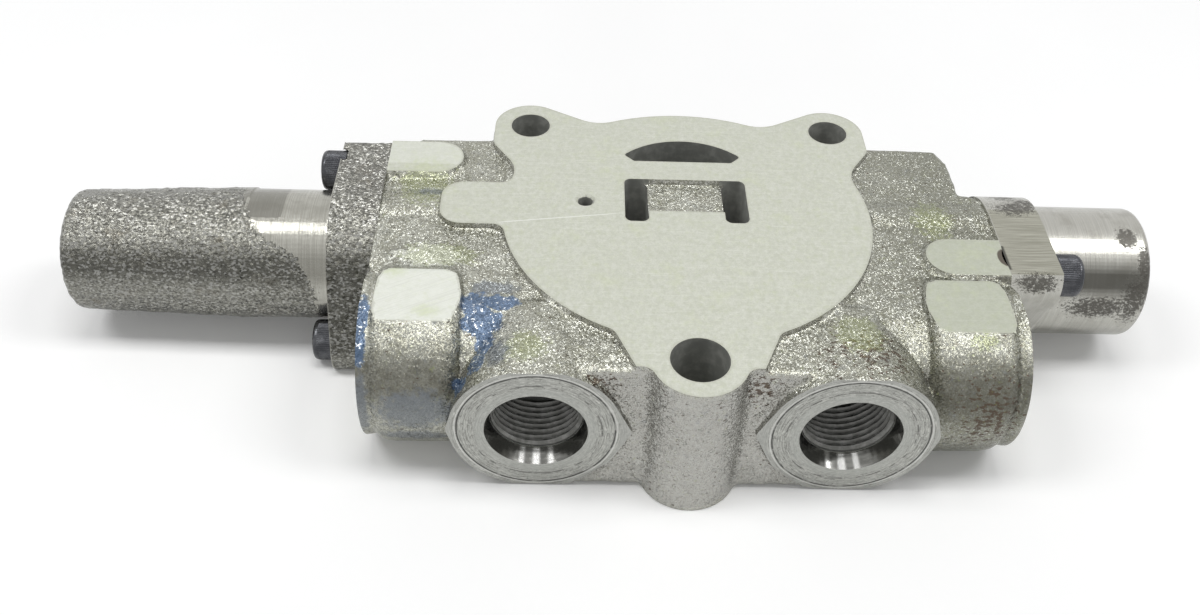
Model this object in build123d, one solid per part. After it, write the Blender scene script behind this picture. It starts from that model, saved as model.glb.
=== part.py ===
"""Work section of a stackable, pilot-operated hydraulic directional valve.

The section lies on its lower mating face. X runs along the spool, Y to the back,
Z up. The origin lies on the lower mating face, under the spool's axis, midway
between the two work ports. All sizes are millimetres.
"""
from build123d import *
import os
from math import cos, radians, sin

# Section and machined mating face
section_thickness = 47.6
face_step = 2.0
lower_step = 0.8
disc_radius = 57.0
disc_centre_y = -4.0
back_arc_radius = 60.2
back_arc_centre_y = -12.0
ear_side_length = 10.4
ear_root_x = 50.0
ear_root_y = 12.0
ear_inner_x = 24.0
ear_inner_y = 39.5
ear_shoulder_offset = 7.0
ear_shoulder_rise = 9.6
ear_blend = 12.0
ear_rounding = 6.0
neck_rear_y = -52.0
neck_rear_half = 25.0
neck_front_half = 17.5
tab_reach = 76.3
tab_low_y = -11.4
tab_high_y = 9.1
tab_corner = 7.0
root_blend = 4.0

# Tie bolt holes and their bosses
rear_tie_x = 50.0
rear_tie_y = 40.4
rear_tie_radius = 6.4
rear_ear_radius = 11.8
front_tie_y = -66.9
front_tie_radius = 8.3
column_top_radius = 13.6
column_draft = 1.2

# Cast block
body_half_length = 94.8
pad_step = 6.3
block_back_y = 34.4
block_corner = 4.0
pad_front_y = -32.0
left_pad_back_y = 28.7
right_pad_back_y = 11.0
front_wall_y = -69.8
front_foot_y = -73.0
front_wall_depth = 16.0
spool_boss_radius = 22.6

# Relief cavity barrels beside the ports
barrel_y = -43.5
barrel_radius = 26.1
barrel_length = 25.5
barrel_round = 5.0
valley_radius = 21.9
groove_radius = 23.0
groove_width = 0.7
collar_radius = 24.8
collar_width = 2.6
collar_edge = 0.6
corner_step = 30

# Work ports
port_pitch = 88.9
port_face_y = -73.1
port_boss_radius = 24.6
port_boss_root_radius = 23.0
port_boss_inset = 0.3
port_boss_ridge = 3.0
port_boss_inner_reach = 26.8
port_boss_outer_reach = 25.4
port_mouth_radius = 14.6
port_thread_radius = 13.45
port_seat_depth = 6.0
port_thread_length = 17.0
port_passage_radius = 9.5

# Spool and its bore
spool_radius = 11.09
spool_clearance = 0.02
spool_travel = 8.0
spool_neck_radius = 6.2
spool_end_inset = 8.8
centre_neck = (7.0, 20.5)
metering_neck = (24.0, 33.0)
tank_neck = (56.0, 66.0)
notch_depth = 1.2
notch_width = 3.0
notch_count = 4
chamber_radius = 14.0
bridge_chamber = (24.5, 32.5)
port_chamber = (39.0, 50.0)
tank_chamber = (57.0, 66.0)
stem_radius = 5.0
stop_stub_radius = 8.0
travel_allowance = 0.5

# Open-centre passage, return passage and small drilling
leg_inner_x = 11.8
leg_outer_x = 19.2
leg_front_y = -8.5
leg_back_y = 12.5
leg_corner = 2.2
web_front_y = -3.3
return_half_width = 19.0
return_front_y = 22.1
return_back_y = 33.4
return_end_height = 3.2
return_core_y = 26.5
return_core_height = 10.0
return_core_width = 8.4
sense_x = -31.5
sense_y = 1.3
sense_radius = 2.3
sense_sink_radius = 3.1
feed_half_width = 17.0
feed_low_z = 8.5
feed_high_z = 15.0
bridge_core_height = 7.6
bridge_core_width = 7.6
bridge_core_z = 34.5

# Load check in the lower face
check_y = -30.0
check_bore_radius = 8.5
check_seat_radius = 6.0
check_seat_z = 27.0
check_clearance = 0.05
check_nose = 2.2
check_seat_gap = 0.2
check_edge = 1.0
check_poppet_height = 11.0
check_skirt_wall = 2.2
check_plug_radius = 10.5
check_plug_height = 8.0
check_plug_recess = 0.2
check_socket_flats = 10.0
check_socket_depth = 4.0
check_spring_radius = 5.0
check_spring_wire = 1.2
check_spring_turns = 4

# Face seals in the lower face
face_groove_gap = 1.5
face_groove_width = 2.4
face_groove_depth = 1.8

# Caps
short_flange_thickness = 16.0
long_flange_thickness = 15.4
long_flange_spotface = 1.6
spotface_clearance = 0.5
flange_hub_radius = 23.5
flange_lobe_radius = 9.4
cap_bore_radius = 14.6
cap_end_wall = 8.8
long_cap_end = 192.6
long_cap_band_radius = 20.6
long_cap_band_length = 26.0
long_cap_band_step = 0.4
long_cap_end_radius = 19.1
long_cap_edge = 2.5
short_cap_end = 145.5
short_cap_radius = 20.7
short_cap_edge = 2.0
pilot_thread_radius = 6.5
pilot_mouth_radius = 8.0
pilot_mouth_depth = 1.5
cap_groove_inner = 16.0
cap_groove_width = 2.6
cap_groove_depth = 1.9
seal_clearance = 0.05

# Cap screws
screw_y = 21.8
screw_z = 17.2
screw_radius = 4.0
screw_head_radius = 6.5
screw_head_height = 8.0
screw_head_edge = 0.5
screw_grip = 14.0
screw_socket_flats = 6.0
screw_socket_depth = 4.0
screw_hole_clearance = 0.4
thread_clearance = 0.05
tapped_depth = 20.0
right_sink_radius = 7.6
right_sink_depth = 2.6
screw_boss_radius = 10.4
screw_boss_reach = 15.8

# Centring spring pack in the long cap
seat_cap_gap = 0.4
seat_flange = 2.4
seat_collar_radius = 8.6
seat_collar_length = 6.0
seat_stem_clearance = 0.3
outer_seat_x = 166.0
stem_bolt_radius = 3.0
stem_bolt_reach = 14.0
stem_bolt_tip_gap = 1.0
stem_head_radius = 5.6
stem_head_height = 5.0
stem_socket_flats = 4.0
stem_socket_depth = 2.5
spring_radius = 10.6
spring_wire = 2.6
spring_turns = 7
coil_steps = 16

# Relief cavity plugs
relief_bore_radius = 13.5
relief_bore_depth = 17.0
relief_head_radius = 16.5
relief_head_height = 4.0
relief_head_clearance = 0.3
relief_plug_length = 13.0
relief_seal_width = 2.0
relief_seal_thickness = 1.8
relief_socket_flats = 14.0
relief_socket_depth = 7.0
relief_passage_radius = 8.0

axis_z = section_thickness / 2
port_x = port_pitch / 2
column_foot_radius = column_top_radius + column_draft
block_half_length = body_half_length - pad_step
barrel_outer_x = body_half_length - collar_width - groove_width
barrel_inner_x = barrel_outer_x - barrel_length
bore_radius = spool_radius + spool_clearance
spool_half_length = body_half_length - spool_end_inset
cast_low_z = lower_step
cast_high_z = section_thickness - face_step
seat_radius = cap_bore_radius - seat_cap_gap


def block(x_span, y_span, z_span):
    """A box between two values on each axis."""
    sides = [high - low for low, high in (x_span, y_span, z_span)]
    middle = [(low + high) / 2 for low, high in (x_span, y_span, z_span)]
    return Pos(*middle) * Box(*sides)


def rod_x(radius, start, end, y=0.0, z=axis_z):
    """A cylinder along X."""
    middle = Pos((start + end) / 2, y, z)
    return middle * Rot(0, 90, 0) * Cylinder(radius, abs(end - start))


def rod_y(radius, start, end, x, z=axis_z):
    """A cylinder along Y."""
    middle = Pos(x, (start + end) / 2, z)
    return middle * Rot(90, 0, 0) * Cylinder(radius, abs(end - start))


def rod_z(radius, start, end, x, y):
    """A cylinder along Z."""
    return Pos(x, y, (start + end) / 2) * Cylinder(radius, end - start)


def turned(points, y=0.0, z=axis_z):
    """A solid of revolution about a line along X, from (x, radius) points."""
    profile = make_face(Polyline(*points, close=True))
    return Pos(0, y, z) * revolve(profile, Axis.X)


def ring_x(inner, outer, start, end, y=0.0, z=axis_z):
    """A flat ring about a line along X."""
    return rod_x(outer, start, end, y, z) - rod_x(inner, start, end, y, z)


def hexagon_x(flats, start, end, y=0.0, z=axis_z):
    """A hexagonal prism along X, for a key socket."""
    socket = extrude(RegularPolygon(flats / 2, 6, major_radius=False), abs(end - start))
    return Pos(min(start, end), y, z) * Rot(0, 90, 0) * socket


def mirrored(shape):
    """The same shape on the other side of the plane between the ports."""
    return mirror(shape, Plane.YZ)


def blended(sketch, inside=0.0, outside=0.0):
    """A flat outline with its inside and outside corners rounded."""
    if inside:
        sketch = offset(offset(sketch, inside), -inside)
    if outside:
        sketch = offset(offset(sketch, -outside), outside)
    return sketch


def slab(sketch, low, high):
    """A flat outline extruded between two heights."""
    return Pos(0, 0, low) * extrude(sketch, high - low)


def full_height(solid):
    """The part of a solid that lies between the two mating faces."""
    reach = 2 * long_cap_end
    return solid & block((-reach, reach), (-reach, reach), (0, section_thickness))


def mating_outline():
    """Outline of the machined mating face: disc, two ears, front neck and side tab."""
    disc = Pos(0, disc_centre_y) * Circle(disc_radius)
    disc = disc & Pos(0, back_arc_centre_y) * Circle(back_arc_radius)
    ear_side_x = rear_tie_x + rear_ear_radius
    ear = make_face(Polyline(
        (ear_side_x, rear_tie_y), (ear_side_x, rear_tie_y - ear_side_length),
        (ear_root_x, ear_root_y), (ear_inner_x, ear_root_y), (ear_inner_x, ear_inner_y),
        (rear_tie_x - ear_shoulder_offset, rear_tie_y + ear_shoulder_rise), close=True))
    ear = ear + Pos(rear_tie_x, rear_tie_y) * Circle(rear_ear_radius)
    face = blended(disc + ear + mirror(ear, Plane.YZ), ear_blend, ear_rounding)
    neck = make_face(Polyline(
        (-neck_rear_half, neck_rear_y), (neck_rear_half, neck_rear_y),
        (neck_front_half, front_wall_y), (-neck_front_half, front_wall_y), close=True))
    face = face + neck + Pos(0, front_tie_y) * Circle(column_top_radius)
    tab_height = tab_high_y - tab_low_y
    tab_middle = (tab_high_y + tab_low_y) / 2
    tab = Pos(-tab_reach / 2, tab_middle) * RectangleRounded(tab_reach, tab_height, tab_corner)
    return blended(face + tab, root_blend)


def column_plan(z):
    """Outline of the drafted front wall and of the column in front of it, at one height."""
    rise = z / section_thickness
    radius = column_foot_radius + rise * (column_top_radius - column_foot_radius)
    wall_y = front_foot_y + rise * (front_wall_y - front_foot_y)
    wall = Pos(0, wall_y + front_wall_depth / 2) * Rectangle(2 * port_x, front_wall_depth)
    outline = blended(wall + Pos(0, front_tie_y) * Circle(radius), root_blend)
    return Pos(0, 0, z) * outline


def column():
    """Front tie bolt boss, drafted and blended into the front wall."""
    round_part = Pos(0, front_tie_y, axis_z) * Cone(
        column_foot_radius, column_top_radius, section_thickness)
    return round_part + loft([column_plan(cast_low_z), column_plan(cast_high_z)], ruled=True)


def cast_block():
    """Main casting between the caps, a step lower than the mating faces."""
    plan = make_face(Polyline(
        (-block_half_length, barrel_y), (-port_x, barrel_y), (-port_x, front_wall_y),
        (port_x, front_wall_y), (port_x, barrel_y), (block_half_length, barrel_y),
        (block_half_length, pad_front_y), (body_half_length, pad_front_y),
        (body_half_length, right_pad_back_y), (block_half_length, right_pad_back_y),
        (block_half_length, block_back_y), (-block_half_length, block_back_y),
        (-body_half_length, left_pad_back_y), (-body_half_length, pad_front_y),
        (-block_half_length, pad_front_y), close=True))
    plan = blended(plan, outside=block_corner)
    valley = rod_x(valley_radius, -block_half_length, block_half_length, barrel_y)
    spool_boss = rod_x(spool_boss_radius, -body_half_length, body_half_length)
    return slab(plan, cast_low_z, cast_high_z) + valley + spool_boss


def port_boss_section(y, radius):
    """Outline of the right port's boss at one depth: a circle with a ridge on either side."""
    ratio = radius / port_boss_radius
    ridge = port_boss_ridge * ratio
    inner = Pos(ridge - port_boss_inner_reach * ratio, 0) * Circle(ridge)
    outer = Pos(port_boss_outer_reach * ratio - ridge, 0) * Circle(ridge)
    outline = make_hull([Circle(radius).edge(), inner.edge(), outer.edge()])
    return Pos(port_x, y, axis_z) * Rot(90, 0, 0) * outline


def port_boss():
    """Boss of the right work port, flared to its face and cut level above and below."""
    face = port_boss_section(port_face_y, port_boss_radius)
    root = port_boss_section(barrel_y, port_boss_root_radius)
    reach = (port_x - port_boss_inner_reach, port_x + port_boss_outer_reach)
    inset = (port_boss_inset, section_thickness - port_boss_inset)
    return loft([face, root], ruled=True) & block(reach, (port_face_y, barrel_y), inset)


def corner_points(x, radius, corner, direction):
    """Points of a turned profile that round off one end of a boss."""
    angles = [radians(corner_step * step) for step in range(round(90 / corner_step) + 1)]
    return [(x + direction * corner * (1 - cos(angle)), radius - corner * (1 - sin(angle)))
            for angle in angles]


def barrel():
    """Relief cavity boss of the right side, with a groove and the collar at its end."""
    inner_end = corner_points(barrel_inner_x, barrel_radius, barrel_round, 1)
    outer_end = corner_points(barrel_outer_x, barrel_radius, barrel_radius - groove_radius, -1)
    collar_start = body_half_length - collar_width
    collar = [
        (collar_start, groove_radius), (collar_start, collar_radius - collar_edge),
        (collar_start + collar_edge, collar_radius),
        (body_half_length - collar_edge, collar_radius),
        (body_half_length, collar_radius - collar_edge), (body_half_length, 0)]
    profile = [(barrel_inner_x, 0)] + inner_end + list(reversed(outer_end)) + collar
    return turned(profile, barrel_y)


def screw_boss(side, y, z):
    """Round-ended boss that takes one cap screw."""
    start = body_half_length - screw_boss_reach
    shank = rod_x(screw_boss_radius, start, body_half_length, y, z)
    return place_on_side(shank + Pos(start, y, z) * Sphere(screw_boss_radius), side)


def place_on_side(shape, side):
    """A shape drawn for the right end, moved to the end that side names."""
    return shape if side > 0 else mirrored(shape)


def screw_places(side):
    """The y and z of the two cap screws, which are diagonal and swap from end to end."""
    return [(-side * screw_y, axis_z + screw_z), (side * screw_y, axis_z - screw_z)]


def leg_plan():
    """Outline of the two legs of the open-centre passage."""
    width = leg_outer_x - leg_inner_x
    depth = leg_back_y - leg_front_y
    middle = Pos((leg_outer_x + leg_inner_x) / 2, (leg_back_y + leg_front_y) / 2)
    leg = middle * RectangleRounded(width, depth, leg_corner)
    return leg + mirror(leg, Plane.YZ)


def return_plan():
    """Crescent outline of the return passage: flat front edge and arched back edge."""
    end_y = return_front_y + return_end_height
    back_arc = ThreePointArc(
        (-return_half_width, end_y), (0, return_back_y), (return_half_width, end_y))
    sides = Polyline(
        (return_half_width, end_y), (return_half_width - return_end_height, return_front_y),
        (return_end_height - return_half_width, return_front_y), (-return_half_width, end_y))
    crescent = make_face(back_arc + sides)
    return fillet(crescent.vertices(), return_end_height / 3)


def open_centre_outline():
    """Outer outline of the open-centre opening, legs and web together."""
    depth = leg_back_y - leg_front_y
    middle_y = (leg_back_y + leg_front_y) / 2
    return Pos(0, middle_y) * RectangleRounded(2 * leg_outer_x, depth, leg_corner)


def web_recess():
    """Shallow recess in the upper face, over the web between the legs."""
    reach = (leg_inner_x + leg_outer_x) / 2
    return block((-reach, reach), (web_front_y, leg_back_y), (cast_high_z, section_thickness))


def mating_passages():
    """Everything that opens into the mating faces."""
    cuts = [slab(leg_plan(), 0, section_thickness), slab(return_plan(), 0, section_thickness)]
    cuts.append(web_recess())
    for side in (-1, 1):
        cuts.append(rod_z(rear_tie_radius, 0, section_thickness, side * rear_tie_x, rear_tie_y))
    cuts.append(rod_z(front_tie_radius, 0, section_thickness, 0, front_tie_y))
    cuts.append(rod_z(sense_radius, axis_z, section_thickness, sense_x, sense_y))
    sink_depth = sense_sink_radius - sense_radius
    cuts.append(Pos(sense_x, sense_y, section_thickness - sink_depth / 2) * Cone(
        sense_radius, sense_sink_radius, sink_depth))
    return cuts


def spool_bore():
    """Bore of the spool with its ring-shaped chambers."""
    cuts = [rod_x(bore_radius, -body_half_length, body_half_length)]
    for near, far in (bridge_chamber, port_chamber, tank_chamber):
        for side in (-1, 1):
            cuts.append(rod_x(chamber_radius, side * near, side * far))
    return cuts


def port_passage():
    """Right work port: seat cone, thread bore and the passage to the spool."""
    seat_end = port_face_y + port_seat_depth
    thread_end = seat_end + port_thread_length
    cone = Pos(port_x, (port_face_y + seat_end) / 2, axis_z) * Rot(90, 0, 0) * Cone(
        port_thread_radius, port_mouth_radius, port_seat_depth)
    thread = rod_y(port_thread_radius, seat_end, thread_end, port_x)
    passage = rod_y(port_passage_radius, thread_end, 0, port_x)
    return [cone, thread, passage]


def relief_cavity():
    """Right relief cavity: plug head recess, seal recess, bore and passage to the port."""
    head_floor = body_half_length - relief_head_height - relief_head_clearance
    seal_floor = head_floor - relief_seal_thickness
    bore_floor = head_floor - relief_bore_depth
    head = rod_x(relief_head_radius + relief_head_clearance, head_floor, body_half_length, barrel_y)
    seal_outer = relief_bore_radius + relief_seal_width + seal_clearance
    seal = rod_x(seal_outer, seal_floor, head_floor, barrel_y)
    bore = rod_x(relief_bore_radius, bore_floor, seal_floor, barrel_y)
    passage = rod_x(relief_passage_radius, port_x, bore_floor, barrel_y)
    return [head, seal, bore, passage]


def tapped_holes(side):
    """Cap screw holes in one end of the casting, countersunk at the right end."""
    radius = screw_radius + thread_clearance
    floor = body_half_length - tapped_depth
    holes = [rod_x(radius, floor, body_half_length, y, z) for y, z in screw_places(side)]
    if side > 0:
        sink = [
            (body_half_length - right_sink_depth, 0), (body_half_length - right_sink_depth, radius),
            (body_half_length, right_sink_radius), (body_half_length, 0)]
        holes += [turned(sink, y, z) for y, z in screw_places(side)]
    return [place_on_side(hole, side) for hole in holes]


def cored_arch(chamber, y, z, width, height):
    """Square-cored passage that runs across at y and back to a pair of spool chambers."""
    middle = (chamber[0] + chamber[1]) / 2
    span_z = (z - height / 2, z + height / 2)
    cuts = [block(
        (-middle - width / 2, middle + width / 2), (y - width / 2, y + width / 2), span_z)]
    for side in (-1, 1):
        span_x = (side * middle - width / 2, side * middle + width / 2)
        cuts.append(block(span_x, (min(y, 0), max(y, 0)), span_z))
    return cuts


def return_core():
    """Cored passage that joins the outer chambers to the crescent passage."""
    return cored_arch(
        tank_chamber, return_core_y, axis_z, return_core_width, return_core_height)


def check_passages():
    """Load check cavity in the lower face, its feed and the bridge core to the spool."""
    cavity = rod_z(check_bore_radius, 0, check_seat_z, 0, check_y)
    plug_recess = rod_z(check_plug_radius, 0, check_plug_recess + check_plug_height, 0, check_y)
    seat = rod_z(check_seat_radius, check_seat_z, bridge_core_z, 0, check_y)
    feed = block(
        (-feed_half_width, feed_half_width), (check_y, leg_front_y + leg_corner),
        (feed_low_z, feed_high_z))
    bridge = cored_arch(
        bridge_chamber, check_y, bridge_core_z, bridge_core_width, bridge_core_height)
    return [cavity, plug_recess, seat, feed] + bridge


def face_ring(outline, gap, width, low, high):
    """A ring that runs round an opening at a fixed distance from its edge."""
    plan = offset(outline, gap + width) - offset(outline, gap)
    return slab(plan, low, high)


def face_grooves():
    """Seal grooves round the openings of the lower face."""
    openings = (return_plan(), open_centre_outline())
    return [face_ring(opening, face_groove_gap, face_groove_width, 0, face_groove_depth)
            for opening in openings]


def valve_body():
    """The section's casting with all its machining."""
    casting = cast_block() + column()
    for side in (-1, 1):
        casting += place_on_side(port_boss(), side)
        casting += place_on_side(barrel(), side)
        for y, z in screw_places(side):
            casting += screw_boss(side, y, z)
    casting = full_height(casting) + slab(mating_outline(), 0, section_thickness)
    cuts = mating_passages() + spool_bore() + return_core() + check_passages() + face_grooves()
    for side in (-1, 1):
        cuts += [place_on_side(cut, side) for cut in port_passage() + relief_cavity()]
        cuts += tapped_holes(side)
    for cut in cuts:
        casting -= cut
    return casting


def spool():
    """Spool with its necks and metering notches, a centring stem and a stop stub."""
    outline = [(-spool_half_length, 0), (-spool_half_length, spool_radius)]
    spans = [tank_neck, metering_neck, centre_neck]
    necks = [(-far, -near) for near, far in spans] + list(reversed(spans))
    for near, far in necks:
        outline += [(near, spool_radius), (near, spool_neck_radius)]
        outline += [(far, spool_neck_radius), (far, spool_radius)]
    outline += [(spool_half_length, spool_radius), (spool_half_length, 0)]
    bar = turned(outline)
    bar += rod_x(stem_radius, -outer_seat_x, -spool_half_length)
    stub_end = short_cap_end - cap_end_wall - spool_travel - travel_allowance
    bar += rod_x(stop_stub_radius, spool_half_length, stub_end)
    bar -= rod_x(stem_bolt_radius + thread_clearance, -outer_seat_x, stem_bolt_reach - outer_seat_x)
    for side in (-1, 1):
        for step in range(notch_count):
            notch = Box(2 * notch_width, notch_width, 2 * notch_depth)
            notch = Pos(side * metering_neck[1], 0, spool_radius) * notch
            bar -= Pos(0, 0, axis_z) * Rot(360 * step / notch_count, 0, 0) * notch
    return bar


def flange_end(side):
    """Distance from the section's middle to the outer face of one cap's flange."""
    return body_half_length + (short_flange_thickness if side > 0 else long_flange_thickness)


def screw_seat_x(side):
    """Distance from the section's middle to the seat of one cap's screw heads."""
    return flange_end(side) - (0 if side > 0 else long_flange_spotface)


def flange(side):
    """Two-bolt cap flange: a hub and two diagonal lobes, level with the mating faces."""
    circles = [Circle(flange_hub_radius).edge()]
    for y, z in screw_places(side):
        circles.append((Pos(y, z - axis_z) * Circle(flange_lobe_radius)).edge())
    plan = Plane.YZ * make_hull(circles)
    thickness = flange_end(side) - body_half_length
    return full_height(Pos(body_half_length, 0, axis_z) * extrude(plan, thickness))


def cap_cuts(end_x, side):
    """Bore, seal groove, screw holes and pilot port of a cap drawn at the right end."""
    inner_end = end_x - cap_end_wall
    cuts = [rod_x(cap_bore_radius, body_half_length, inner_end)]
    groove_end = body_half_length + cap_groove_depth
    cuts.append(ring_x(
        cap_groove_inner, cap_groove_inner + cap_groove_width, body_half_length, groove_end))
    hole_radius = screw_radius + screw_hole_clearance
    spotface_radius = screw_head_radius + spotface_clearance
    for y, z in screw_places(side):
        cuts.append(rod_x(hole_radius, body_half_length, flange_end(side), y, z))
        if screw_seat_x(side) < flange_end(side):
            cuts.append(rod_x(spotface_radius, screw_seat_x(side), flange_end(side), y, z))
    cuts.append(turned([
        (inner_end, 0), (inner_end, pilot_thread_radius),
        (end_x - pilot_mouth_depth, pilot_thread_radius), (end_x, pilot_mouth_radius), (end_x, 0)]))
    return cuts


def cap(end_x, side, barrel_profile):
    """A cap drawn at the right end: flange, closed tube and its cuts."""
    solid = flange(side) + turned(barrel_profile)
    for cut in cap_cuts(end_x, side):
        solid -= cut
    return place_on_side(solid, side)


def closed_end(end_x, radius, edge):
    """Last points of a cap's profile: the rounded edge and the end face."""
    return corner_points(end_x, radius, edge, -1)[::-1] + [(end_x, 0)]


def long_cap():
    """Left cap: machined band beside the flange, then a long drafted cast tube."""
    band_end = flange_end(-1) + long_cap_band_length
    start = [
        (body_half_length, 0), (body_half_length, long_cap_band_radius),
        (band_end, long_cap_band_radius),
        (band_end + long_cap_band_step, long_cap_band_radius + long_cap_band_step)]
    end = closed_end(long_cap_end, long_cap_end_radius, long_cap_edge)
    return cap(long_cap_end, -1, start + end)


def short_cap():
    """Right cap: a short turned tube with a closed end."""
    start = [(body_half_length, 0), (body_half_length, short_cap_radius)]
    end = closed_end(short_cap_end, short_cap_radius, short_cap_edge)
    return cap(short_cap_end, 1, start + end)


def cap_screw(side, y, z):
    """Socket head cap screw, drawn at the right end."""
    seat_x = screw_seat_x(side)
    head_end = seat_x + screw_head_height
    head = rod_x(screw_head_radius, seat_x, head_end, y, z)
    head = chamfer(head.faces().sort_by(Axis.X)[-1].edges(), screw_head_edge)
    shank = rod_x(screw_radius, body_half_length - screw_grip, seat_x, y, z)
    socket = hexagon_x(screw_socket_flats, head_end - screw_socket_depth, head_end, y, z)
    return head + shank - socket


def cap_screws(side):
    """The two screws of one cap."""
    screws = [place_on_side(cap_screw(side, y, z), side) for y, z in screw_places(side)]
    return Compound(children=screws)


def cap_seal(side):
    """Face seal between a cap and the casting."""
    seal = ring_x(
        cap_groove_inner + seal_clearance,
        cap_groove_inner + cap_groove_width - seal_clearance,
        body_half_length, body_half_length + cap_groove_depth - seal_clearance)
    return place_on_side(seal, side)


def inner_spring_seat():
    """Seat against the end of the casting, with a collar that guides the spring."""
    seat_x = body_half_length
    hole = stem_radius + seat_stem_clearance
    flange_x = seat_x + seat_flange
    seat = turned([
        (seat_x, hole), (seat_x, seat_radius), (flange_x, seat_radius),
        (flange_x, seat_collar_radius), (flange_x + seat_collar_length, seat_collar_radius),
        (flange_x + seat_collar_length, hole)])
    return mirrored(seat)


def outer_spring_seat():
    """Seat on the end of the spool's stem, held by the stem bolt."""
    hole = stem_bolt_radius + seat_stem_clearance
    back = outer_seat_x + seat_flange
    collar = outer_seat_x - seat_collar_length
    sleeve = stem_radius + seat_stem_clearance
    seat = turned([
        (outer_seat_x, hole), (back, hole), (back, seat_radius), (outer_seat_x, seat_radius),
        (outer_seat_x, seat_collar_radius), (collar, seat_collar_radius),
        (collar, sleeve), (outer_seat_x, sleeve)])
    return mirrored(seat)


def stem_bolt():
    """Socket screw that holds the outer seat on the stem."""
    head_x = outer_seat_x + seat_flange
    head = rod_x(stem_head_radius, head_x, head_x + stem_head_height)
    shank_tip = outer_seat_x - stem_bolt_reach + stem_bolt_tip_gap
    shank = rod_x(stem_bolt_radius, shank_tip, head_x)
    end = head_x + stem_head_height
    socket = hexagon_x(stem_socket_flats, end - stem_socket_depth, end)
    return mirrored(head + shank - socket)


def coil_spring(radius, wire, length, turns):
    """Compression spring along Z, of square wire, from z = 0 to its free length."""
    wire_section = Plane.XZ * (Pos(radius, 0) * Rectangle(wire, wire))
    steps = turns * coil_steps
    sections = []
    for step in range(steps + 1):
        height = wire / 2 + (length - wire) * step / steps
        sections.append(Pos(0, 0, height) * Rot(0, 0, 360 * step / coil_steps) * wire_section)
    return loft(sections, ruled=True)


def centring_spring():
    """Main spring of the centring pack, between its two seats."""
    start = body_half_length + seat_flange + seat_stem_clearance
    end = outer_seat_x - seat_stem_clearance
    coil = coil_spring(spring_radius, spring_wire, end - start, spring_turns)
    return mirrored(Pos(start, 0, axis_z) * Rot(0, 90, 0) * coil)


def check_poppet():
    """Load check poppet: hollow skirt and a cone that seats in the casting."""
    outer = check_bore_radius - check_clearance
    top = check_seat_z
    base = top - check_poppet_height
    inner = outer - check_skirt_wall
    nose = check_seat_radius - check_seat_gap
    profile = Plane.XZ * make_face(Polyline(
        (0, top + check_nose), (nose - check_nose, top + check_nose), (nose, top),
        (outer - check_edge, top), (outer, top - check_edge), (outer, base),
        (inner, base), (inner, top - check_skirt_wall), (0, top - check_skirt_wall), close=True))
    return Pos(0, check_y, 0) * revolve(profile, Axis.Z)


def check_plug():
    """Threaded plug that closes the check cavity, flush with the lower face."""
    radius = check_plug_radius - thread_clearance
    low = check_plug_recess
    plug = rod_z(radius, low, low + check_plug_height, 0, check_y)
    hexagon = RegularPolygon(check_socket_flats / 2, 6, major_radius=False)
    return plug - Pos(0, check_y, low) * extrude(hexagon, check_socket_depth)


def check_spring():
    """Light spring under the check poppet."""
    low = check_plug_recess + check_plug_height + check_clearance
    high = check_seat_z - check_skirt_wall - check_clearance
    coil = coil_spring(check_spring_radius, check_spring_wire, high - low, check_spring_turns)
    return Pos(0, check_y, low) * coil


def face_seal(opening):
    """Seal of one opening, squeezed flush with the lower face."""
    gap = face_groove_gap + seal_clearance
    width = face_groove_width - 2 * seal_clearance
    return face_ring(opening, gap, width, seal_clearance, face_groove_depth - seal_clearance)


def relief_plug(side):
    """Flush plug with a key socket that closes a relief cavity."""
    end = body_half_length - relief_head_clearance / 2
    head_floor = body_half_length - relief_head_height - relief_head_clearance
    head = rod_x(relief_head_radius, head_floor, end, barrel_y)
    shank_radius = relief_bore_radius - thread_clearance
    shank = rod_x(shank_radius, head_floor - relief_plug_length, head_floor, barrel_y)
    socket = hexagon_x(relief_socket_flats, end - relief_socket_depth, end, barrel_y)
    return place_on_side(head + shank - socket, side)


def relief_seal(side):
    """Seal under the head of a relief cavity plug."""
    head_floor = body_half_length - relief_head_height - relief_head_clearance
    seal = ring_x(
        relief_bore_radius, relief_bore_radius + relief_seal_width,
        head_floor - relief_seal_thickness + seal_clearance, head_floor, barrel_y)
    return place_on_side(seal, side)


def all_parts():
    """Every separate piece by its node's name."""
    parts = {
        "valve_body": valve_body(),
        "spool": spool(),
        "long_spring_cap": long_cap(),
        "short_pilot_cap": short_cap(),
        "inner_spring_seat": inner_spring_seat(),
        "outer_spring_seat": outer_spring_seat(),
        "stem_bolt": stem_bolt(),
        "centring_spring": centring_spring(),
        "check_poppet": check_poppet(),
        "check_spring": check_spring(),
        "check_plug": check_plug(),
        "return_face_seal": face_seal(return_plan()),
        "centre_face_seal": face_seal(open_centre_outline()),
    }
    for name, side in (("left", -1), ("right", 1)):
        parts[name + "_cap_screws"] = cap_screws(side)
        parts[name + "_cap_seal"] = cap_seal(side)
        parts[name + "_relief_plug"] = relief_plug(side)
        parts[name + "_relief_seal"] = relief_seal(side)
    return parts


def main():
    os.makedirs("parts", exist_ok=True)
    for name, shape in all_parts().items():
        export_step(shape, f"parts/{name}.step")


main()
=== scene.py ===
"""Looks of the hydraulic valve section: castings, screws, threads, finishes, light and camera.

Lengths in the code are millimetres unless they go straight into Blender, which takes metres.
"""
import math

import bpy
import numpy as np
from mathutils import Matrix, Vector


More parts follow.
